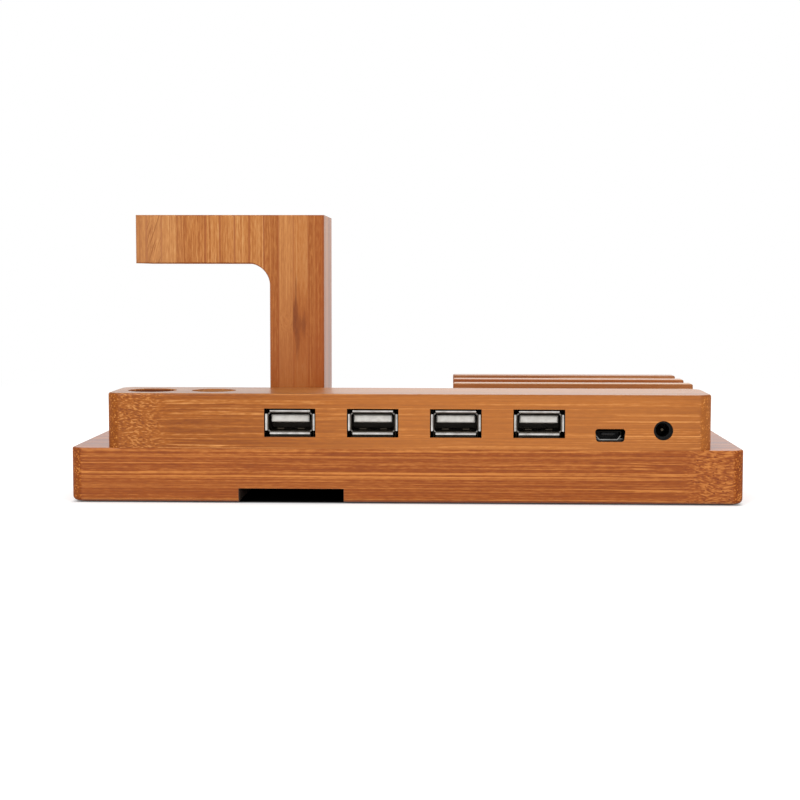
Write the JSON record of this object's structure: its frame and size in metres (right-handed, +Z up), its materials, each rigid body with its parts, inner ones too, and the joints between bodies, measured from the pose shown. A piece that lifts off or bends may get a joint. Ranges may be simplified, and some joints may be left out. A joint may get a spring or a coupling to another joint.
{
  "type": "charging station organizer",
  "caption": "Bamboo charging dock: a plate with a USB hub in its rear bar, a watch stand, upright dividers for devices and holes for pens.",
  "frame": {"origin": "on the standing surface, below the middle of the plate", "axes": "+X along the bar, from the pen holes to the power inlet; the ports face -Y; +Z up"},
  "size_m": [0.1964, 0.132, 0.0847],
  "materials": {
    "plate_bamboo": "satin lacquered bamboo, horizontal grain",
    "housing_bamboo": "satin lacquered bamboo, horizontal grain",
    "stand_bamboo": "satin lacquered bamboo, upright strips",
    "divider_bamboo": "satin lacquered bamboo, horizontal grain",
    "dowel_wood": "plain beech",
    "pad_rubber": "matt",
    "screw_steel": "bright zinc plated",
    "shell_steel": "nickel plated",
    "contact_brass": "plated",
    "pale_moulding": "moulded",
    "black_moulding": "moulded",
    "board_green": "solder resist",
    "chip_moulding": "moulded, bare of marks",
    "ferrite": "sintered",
    "fuse_moulding": "coated",
    "can_aluminium": "drawn can"
  },
  "bodies": {
    "root": {"base_pads": "pad_rubber", "base_plate": "plate_bamboo", "board_screws": "screw_steel", "clock_crystal": "shell_steel", "dc_jack_body": "black_moulding", "dc_jack_pin": "contact_brass", "dc_jack_spring": "contact_brass", "divider_1": "divider_bamboo", "divider_2": "divider_bamboo", "divider_3": "divider_bamboo", "divider_dowels": "dowel_wood", "filter_capacitors": "can_aluminium", "housing_screws": "screw_steel", "hub_board": "board_green", "hub_controller": "chip_moulding", "hub_housing": "housing_bamboo", "micro_usb_contacts": "contact_brass", "micro_usb_shell": "shell_steel", "micro_usb_tongue": "black_moulding", "port_fuses": "fuse_moulding", "power_inductor": "ferrite", "power_regulator": "chip_moulding", "stand_screws": "screw_steel", "usb_a_contacts_1": "contact_brass", "usb_a_contacts_2": "contact_brass", "usb_a_contacts_3": "contact_brass", "usb_a_contacts_4": "contact_brass", "usb_a_shell_1": "shell_steel", "usb_a_shell_2": "shell_steel", "usb_a_shell_3": "shell_steel", "usb_a_shell_4": "shell_steel", "usb_a_tongue_1": "pale_moulding", "usb_a_tongue_2": "pale_moulding", "usb_a_tongue_3": "pale_moulding", "usb_a_tongue_4": "pale_moulding", "watch_stand": "stand_bamboo"}
  },
  "joints": []
}
